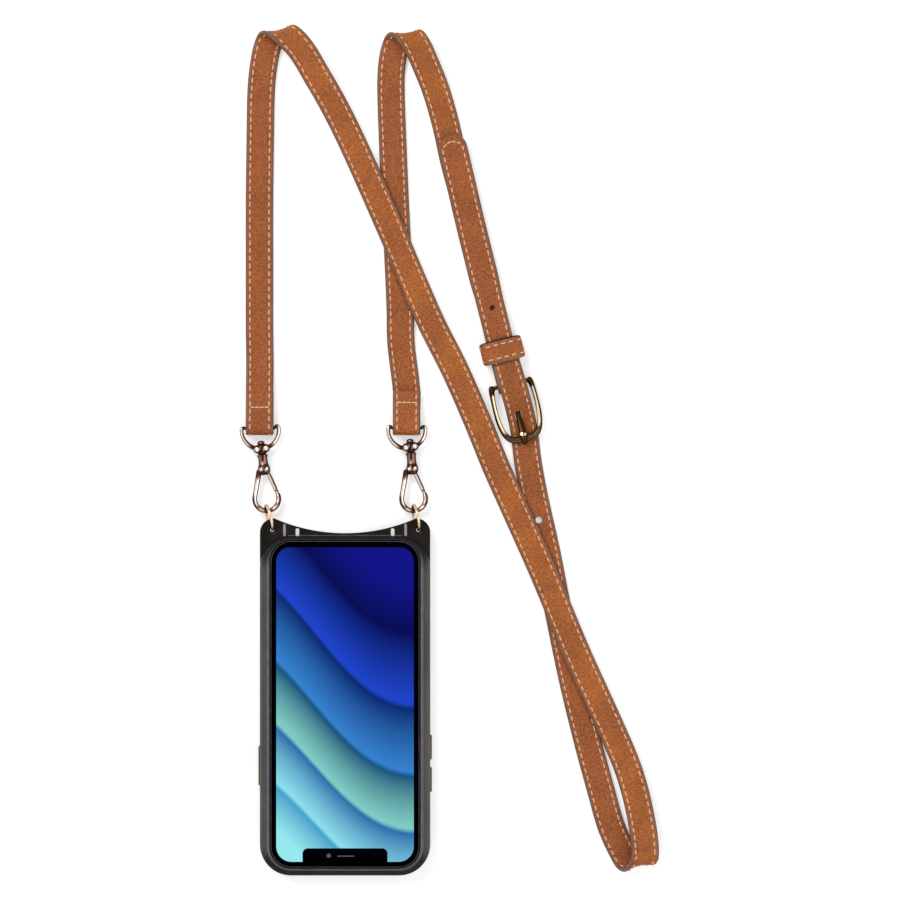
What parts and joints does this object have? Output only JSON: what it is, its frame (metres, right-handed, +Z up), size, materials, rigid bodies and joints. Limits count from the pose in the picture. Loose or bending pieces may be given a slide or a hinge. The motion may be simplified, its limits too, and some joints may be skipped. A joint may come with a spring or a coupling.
{
  "type": "phone pouch",
  "caption": "Black crossbody phone case with two ears, hung by rings and swivel snap hooks from a long flat leather strap with a buckle and a keeper.",
  "frame": {"origin": "centre of the case's flat back face, on the table", "axes": "+X to the picture's right, +Y towards the strap's top folds, +Z up from the table, out of the phone's screen"},
  "size_m": [0.1929, 0.3912, 0.0156],
  "materials": {
    "case_black": "soft gloss",
    "phone_metal": "satin",
    "phone_glass": "polished black glass, opaque",
    "display": "lit picture in blues and greens under glass",
    "ring_brass": "polished pale gold wire",
    "bronze": "antique bronze, polished on the high places",
    "spring_steel": "plain",
    "leather_outer": "pebbled tan leather with pale stitching",
    "leather_lining": "coarser tan leather with pale stitching",
    "buckle_brass": "antique gold, polished"
  },
  "bodies": {
    "straps": {"strap_long_outer": "leather_outer", "strap_long_lining": "leather_lining", "strap_short_outer": "leather_outer", "strap_short_lining": "leather_lining"},
    "keeper_loop": {"keeper": "leather_outer"},
    "buckle": {"buckle_frame": "buckle_brass"},
    "prong": {"buckle_prong": "buckle_brass"},
    "dring_l": {"dring_left": "bronze"},
    "dring_r": {"dring_right": "bronze"},
    "snap_l": {"swivel_rivet_left": "bronze", "hook_left": "bronze", "gate_pin_left": "bronze", "gate_spring_left": "spring_steel"},
    "snap_r": {"swivel_rivet_right": "bronze", "hook_right": "bronze", "gate_pin_right": "bronze", "gate_spring_right": "spring_steel"},
    "gate_l": {"gate_left": "bronze"},
    "gate_r": {"gate_right": "bronze"},
    "ring_l": {"ring_left": "ring_brass"},
    "ring_r": {"ring_right": "ring_brass"},
    "case": {"case_shell": "case_black"},
    "power_key_pad": {"power_pad": "case_black"},
    "volume_up_key_pad": {"volume_up_pad": "case_black"},
    "volume_down_key_pad": {"volume_down_pad": "case_black"},
    "phone": {"phone_frame": "phone_metal", "phone_back": "phone_glass", "phone_glass": "phone_glass", "phone_display": "display", "phone_camera": "phone_glass", "phone_power_key": "phone_metal", "phone_volume_keys": "phone_metal"}
  },
  "joints": [
    {"name": "keeper_slide", "type": "slide", "parent": "straps", "child": "keeper_loop", "axis": [-0.2436, 0.9699, 0], "range_m": [0, 0.0067]},
    {"name": "buckle_rock", "type": "hinge", "parent": "straps", "child": "buckle", "pos_m": [0.07605, 0.14783, 0.004], "axis": [-0.9699, -0.2436, 0], "range_deg": [0, 2]},
    {"name": "prong_lift", "type": "hinge", "parent": "buckle", "child": "prong", "pos_m": [0.07605, 0.14783, 0.004], "axis": [-0.9699, -0.2436, 0], "range_deg": [0, 3]},
    {"name": "dring_left_swing", "type": "hinge", "parent": "straps", "child": "dring_l", "pos_m": [-0.03939, 0.12758, 0.0041], "axis": [1, 0, 0], "range_deg": [-30, 30]},
    {"name": "snap_left_swivel", "type": "hinge", "parent": "dring_l", "child": "snap_l", "pos_m": [-0.03939, 0.11653, 0.0041], "axis": [0.1392, -0.9903, 0], "range_deg": [-25, 25]},
    {"name": "gate_left_open", "type": "hinge", "parent": "snap_l", "child": "gate_l", "pos_m": [-0.0364, 0.10681, 0.0041], "axis": [0, 0, -1], "range_deg": [0, 22], "stiffness_Nm_per_rad": 0.01, "springref_deg": -20.05},
    {"name": "ring_left_swing", "type": "hinge", "parent": "dring_l", "child": "ring_l", "pos_m": [-0.03551, 0.08893, 0.0041], "axis": [1, 0, 0], "range_deg": [-25, 25]},
    {"name": "dring_right_swing", "type": "hinge", "parent": "straps", "child": "dring_r", "pos_m": [0.0282, 0.12758, 0.0041], "axis": [1, 0, 0], "range_deg": [-30, 30]},
    {"name": "snap_right_swivel", "type": "hinge", "parent": "dring_r", "child": "snap_r", "pos_m": [0.0282, 0.11653, 0.0041], "axis": [0.1392, -0.9903, 0], "range_deg": [-25, 25]},
    {"name": "gate_right_open", "type": "hinge", "parent": "snap_r", "child": "gate_r", "pos_m": [0.03119, 0.10681, 0.0041], "axis": [0, 0, -1], "range_deg": [0, 22], "stiffness_Nm_per_rad": 0.01, "springref_deg": -20.05},
    {"name": "ring_right_swing", "type": "hinge", "parent": "dring_r", "child": "ring_r", "pos_m": [0.03208, 0.08893, 0.0041], "axis": [1, 0, 0], "range_deg": [-25, 25]},
    {"name": "case_swing", "type": "hinge", "parent": "ring_l", "child": "case", "pos_m": [-0.0335, 0.08085, 0.0074], "axis": [1, 0, 0], "range_deg": [-25, 25]},
    {"name": "phone_lift", "type": "slide", "parent": "case", "child": "phone", "axis": [0, 0, 1], "range_m": [0, 0.02]},
    {"name": "power_press", "type": "slide", "parent": "case", "child": "power_key_pad", "axis": [1, 0, 0], "range_m": [0, 0.0004], "stiffness_N_per_m": 2000},
    {"name": "volume_up_press", "type": "slide", "parent": "case", "child": "volume_up_key_pad", "axis": [-1, 0, 0], "range_m": [0, 0.0004], "stiffness_N_per_m": 2000},
    {"name": "volume_down_press", "type": "slide", "parent": "case", "child": "volume_down_key_pad", "axis": [-1, 0, 0], "range_m": [0, 0.0004], "stiffness_N_per_m": 2000}
  ],
  "couplings": [
    {"joint": "dring_right_swing", "follows": "dring_left_swing", "ratio": 1},
    {"joint": "ring_right_swing", "follows": "ring_left_swing", "ratio": 1}
  ]
}
